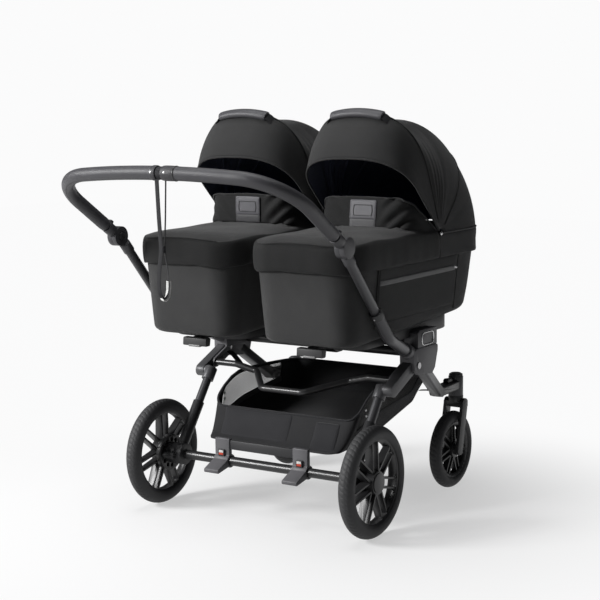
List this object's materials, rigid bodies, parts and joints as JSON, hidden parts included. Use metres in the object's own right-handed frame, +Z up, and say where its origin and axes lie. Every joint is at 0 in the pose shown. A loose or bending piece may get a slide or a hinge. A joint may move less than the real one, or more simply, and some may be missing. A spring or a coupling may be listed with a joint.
{
  "type": "twin pram",
  "caption": "Side-by-side twin pram: folding four-wheel frame with swivel front wheels, pedal brake, basket, adjustable handlebar and lift-off carrycots with folding hoods.",
  "frame": {"origin": "on the floor, midway along and across the pram's outer box", "axes": "+X to the right as seen by the person who pushes, +Y to the front, +Z up"},
  "size_m": [0.738, 1.1311, 1.0876],
  "materials": {
    "dark_plastic": "matte",
    "cot_fabric": "matte",
    "basket_fabric": "matte",
    "webbing": "matte",
    "mattress_cloth": "matte",
    "leather": "satin",
    "tyre": "matte",
    "frame_metal": "satin",
    "bright_metal": "satin",
    "black_metal": "gloss",
    "wheel_plastic": "satin",
    "buffer_rubber": "matte",
    "gloss_black": "gloss"
  },
  "bodies": {
    "chassis": {"side_hub_left": "dark_plastic", "side_hub_right": "dark_plastic", "cross_tubes": "black_metal", "center_bracket": "dark_plastic", "cot_adapters": "dark_plastic", "front_leg_left": "bright_metal", "front_leg_right": "bright_metal", "caster_housing_left": "dark_plastic", "caster_housing_right": "dark_plastic", "handle_sleeve_left": "frame_metal", "handle_sleeve_right": "frame_metal", "basket": "basket_fabric", "pivot_pins": "bright_metal"},
    "rear_frame": {"rear_leg_left": "frame_metal", "rear_leg_right": "frame_metal", "leg_brackets": "dark_plastic"},
    "rear_axle": {"axle_tube": "black_metal", "axle_block_left": "dark_plastic", "axle_block_right": "dark_plastic", "suspension_buffers": "buffer_rubber"},
    "brake": {"brake_pedals": "dark_plastic", "brake_link": "gloss_black"},
    "brake_pin_left": {"brake_pin_left": "bright_metal"},
    "brake_pin_right": {"brake_pin_right": "bright_metal"},
    "rear_wheel_left": {"rear_tyre_left": "tyre", "rear_rim_left": "wheel_plastic"},
    "rear_wheel_right": {"rear_tyre_right": "tyre", "rear_rim_right": "wheel_plastic"},
    "caster_left": {"caster_fork_left": "dark_plastic"},
    "caster_right": {"caster_fork_right": "dark_plastic"},
    "front_wheel_left": {"front_tyre_left": "tyre", "front_rim_left": "wheel_plastic"},
    "front_wheel_right": {"front_tyre_right": "tyre", "front_rim_right": "wheel_plastic"},
    "swivel_lock_left": {"swivel_lock_left": "gloss_black"},
    "swivel_lock_right": {"swivel_lock_right": "gloss_black"},
    "fold_bow": {"fold_bow": "black_metal"},
    "handle_tubes": {"handle_tube_left": "frame_metal", "handle_tube_right": "frame_metal"},
    "handle_button_left": {"handle_button_left": "gloss_black"},
    "handle_button_right": {"handle_button_right": "gloss_black"},
    "handlebar": {"handlebar": "frame_metal", "grip_cover": "leather"},
    "wrist_strap": {"wrist_strap": "webbing"},
    "cot_left": {"cot_shell_left": "cot_fabric", "cot_base_left": "dark_plastic", "mattress_left": "mattress_cloth", "apron_left": "cot_fabric", "hood_back_left": "cot_fabric", "hood_canopy_left": "cot_fabric"},
    "hood_left": {"hood_visor_left": "cot_fabric", "hood_handle_left": "leather"},
    "cot_right": {"cot_shell_right": "cot_fabric", "cot_base_right": "dark_plastic", "mattress_right": "mattress_cloth", "apron_right": "cot_fabric", "hood_back_right": "cot_fabric", "hood_canopy_right": "cot_fabric"},
    "hood_right": {"hood_visor_right": "cot_fabric", "hood_handle_right": "leather"}
  },
  "joints": [
    {"name": "frame_fold", "type": "hinge", "parent": "chassis", "child": "rear_frame", "pos_m": [0, 0.13631, 0.402], "axis": [1, 0, 0], "range_deg": [0, 60], "deforming": ["basket"]},
    {"name": "rear_suspension", "type": "slide", "parent": "rear_frame", "child": "rear_axle", "axis": [0, 0.5892, 0.808], "range_m": [0, 0.015], "stiffness_N_per_m": 6000, "springref_m": -0.02, "deforming": ["suspension_buffers"]},
    {"name": "rear_wheel_left_spin", "type": "hinge", "parent": "rear_axle", "child": "rear_wheel_left", "pos_m": [-0.337, -0.12569, 0.145], "axis": [1, 0, 0], "continuous": true},
    {"name": "rear_wheel_right_spin", "type": "hinge", "parent": "rear_axle", "child": "rear_wheel_right", "pos_m": [0.337, -0.12569, 0.145], "axis": [1, 0, 0], "continuous": true},
    {"name": "brake_pedal", "type": "hinge", "parent": "rear_axle", "child": "brake", "pos_m": [0, -0.12569, 0.145], "axis": [1, 0, 0], "range_deg": [0, 18]},
    {"name": "brake_pin_left_slide", "type": "slide", "parent": "rear_axle", "child": "brake_pin_left", "axis": [-1, 0, 0], "range_m": [0, 0.006]},
    {"name": "brake_pin_right_slide", "type": "slide", "parent": "rear_axle", "child": "brake_pin_right", "axis": [1, 0, 0], "range_m": [0, 0.006]},
    {"name": "caster_left_swivel", "type": "hinge", "parent": "chassis", "child": "caster_left", "pos_m": [-0.275, 0.45331, 0.262], "axis": [0, 0, 1], "continuous": true},
    {"name": "front_wheel_left_spin", "type": "hinge", "parent": "caster_left", "child": "front_wheel_left", "pos_m": [-0.275, 0.42331, 0.11], "axis": [1, 0, 0], "continuous": true},
    {"name": "swivel_lock_left_slide", "type": "slide", "parent": "chassis", "child": "swivel_lock_left", "axis": [0, 1, 0], "range_m": [0, 0.008]},
    {"name": "caster_right_swivel", "type": "hinge", "parent": "chassis", "child": "caster_right", "pos_m": [0.275, 0.45331, 0.262], "axis": [0, 0, 1], "continuous": true},
    {"name": "front_wheel_right_spin", "type": "hinge", "parent": "caster_right", "child": "front_wheel_right", "pos_m": [0.275, 0.42331, 0.11], "axis": [1, 0, 0], "continuous": true},
    {"name": "swivel_lock_right_slide", "type": "slide", "parent": "chassis", "child": "swivel_lock_right", "axis": [0, 1, 0], "range_m": [0, 0.008]},
    {"name": "fold_bow_lift", "type": "hinge", "parent": "chassis", "child": "fold_bow", "pos_m": [0, 0.06431, 0.37], "axis": [1, 0, 0], "range_deg": [-30, 0]},
    {"name": "handle_height", "type": "slide", "parent": "chassis", "child": "handle_tubes", "axis": [0, -0.6582, 0.7528], "range_m": [-0.05, 0]},
    {"name": "handle_angle", "type": "hinge", "parent": "handle_tubes", "child": "handlebar", "pos_m": [0, -0.27269, 0.755], "axis": [1, 0, 0], "range_deg": [-20, 70]},
    {"name": "handle_button_left_press", "type": "slide", "parent": "handle_tubes", "child": "handle_button_left", "axis": [-1, 0, 0], "range_m": [0, 0.0035], "stiffness_N_per_m": 300},
    {"name": "handle_button_right_press", "type": "slide", "parent": "handle_tubes", "child": "handle_button_right", "axis": [1, 0, 0], "range_m": [0, 0.0035], "stiffness_N_per_m": 300},
    {"name": "wrist_strap_swing", "type": "hinge", "parent": "handlebar", "child": "wrist_strap", "pos_m": [0.019, -0.54852, 0.94105], "axis": [1, 0, 0], "range_deg": [-70, 20]},
    {"name": "cot_left_lift", "type": "slide", "parent": "chassis", "child": "cot_left", "axis": [0, 0, 1], "range_m": [0, 0.3]},
    {"name": "hood_left_fold", "type": "hinge", "parent": "cot_left", "child": "hood_left", "pos_m": [-0.182, 0.22731, 0.748], "axis": [1, 0, 0], "range_deg": [-60, 0], "deforming": ["hood_canopy_left"]},
    {"name": "cot_right_lift", "type": "slide", "parent": "chassis", "child": "cot_right", "axis": [0, 0, 1], "range_m": [0, 0.3]},
    {"name": "hood_right_fold", "type": "hinge", "parent": "cot_right", "child": "hood_right", "pos_m": [0.182, 0.22731, 0.748], "axis": [1, 0, 0], "range_deg": [-60, 0], "deforming": ["hood_canopy_right"]}
  ],
  "couplings": [
    {"joint": "wrist_strap_swing", "follows": "handle_angle", "ratio": -1},
    {"joint": "brake_pin_left_slide", "follows": "brake_pedal", "m_per_rad": 0.019},
    {"joint": "brake_pin_right_slide", "follows": "brake_pedal", "m_per_rad": 0.019}
  ]
}
